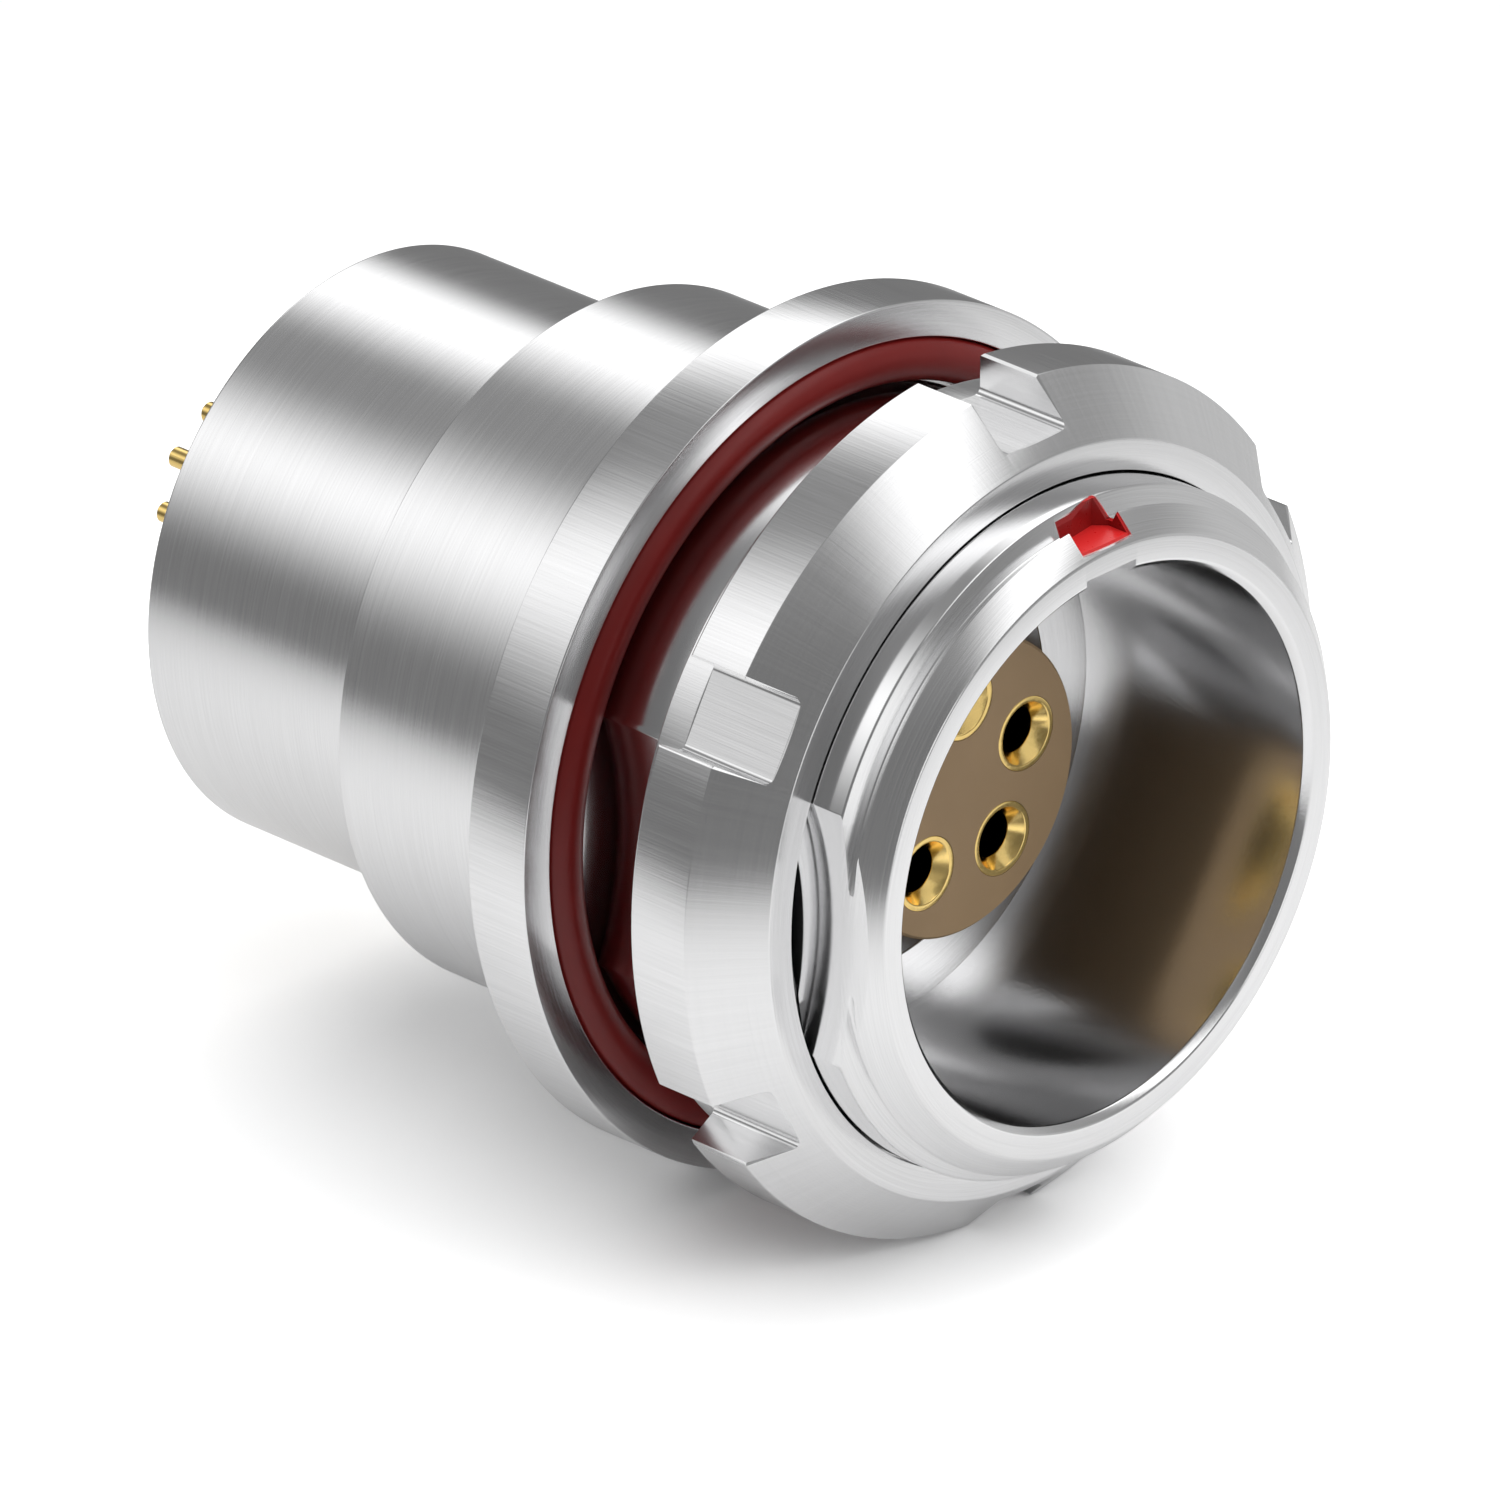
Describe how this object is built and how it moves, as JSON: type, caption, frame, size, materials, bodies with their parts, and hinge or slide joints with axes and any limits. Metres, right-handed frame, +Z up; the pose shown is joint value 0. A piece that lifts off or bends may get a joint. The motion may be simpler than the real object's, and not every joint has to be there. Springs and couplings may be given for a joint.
{
  "type": "waterproof panel socket",
  "caption": "Round waterproof panel socket: flange with O-ring behind the panel, slotted conical nut in front, gold socket contacts in a brown insulator deep in the bore.",
  "frame": {"origin": "centre of the flange's panel face, on the socket's axis", "axes": "-Y along the axis towards the plug, +Z up through the keyway and the index mark, +X to the right for someone who faces the mouth"},
  "size_m": [0.025, 0.0337, 0.025],
  "materials": {
    "satin_metal": "matt chromium plate over fine turning marks",
    "nut_metal": "matt chromium plate, milled notches",
    "carrier_metal": "satin plate",
    "brown_plastic": "unfilled high-temperature plastic, moulded",
    "gold": "gold plate, polished",
    "black_resin": "cast resin, slightly glossy",
    "red_rubber": "dark red rubber, satin",
    "red_paint": "red enamel"
  },
  "bodies": {
    "socket": {"shell": "satin_metal", "rear_sleeve": "satin_metal", "block_carrier": "carrier_metal", "front_insulator": "brown_plastic", "rear_insulator": "brown_plastic", "insulator_key": "carrier_metal", "contact_1": "gold", "contact_2": "gold", "contact_3": "gold", "contact_4": "gold", "contact_5": "gold", "contact_hood_1": "gold", "contact_hood_2": "gold", "contact_hood_3": "gold", "contact_hood_4": "gold", "contact_hood_5": "gold", "rear_potting": "black_resin", "panel_o_ring": "red_rubber", "carrier_seal": "red_rubber", "sleeve_seal": "red_rubber", "insulator_seal": "red_rubber", "index_mark": "red_paint"},
    "washer": {"clamp_washer": "nut_metal"},
    "nut": {"slotted_nut": "nut_metal"}
  },
  "joints": [
    {"name": "nut_advance", "type": "slide", "parent": "socket", "child": "washer", "axis": [0, -1, 0], "range_m": [-0.0024, 0.004]},
    {"name": "nut_turn", "type": "hinge", "parent": "washer", "child": "nut", "pos_m": [0, 0, 0], "axis": [0, -1, 0], "range_deg": [-860, 1435]}
  ],
  "couplings": [
    {"joint": "nut_advance", "follows": "nut_turn", "m_per_rad": 0.00015915}
  ]
}
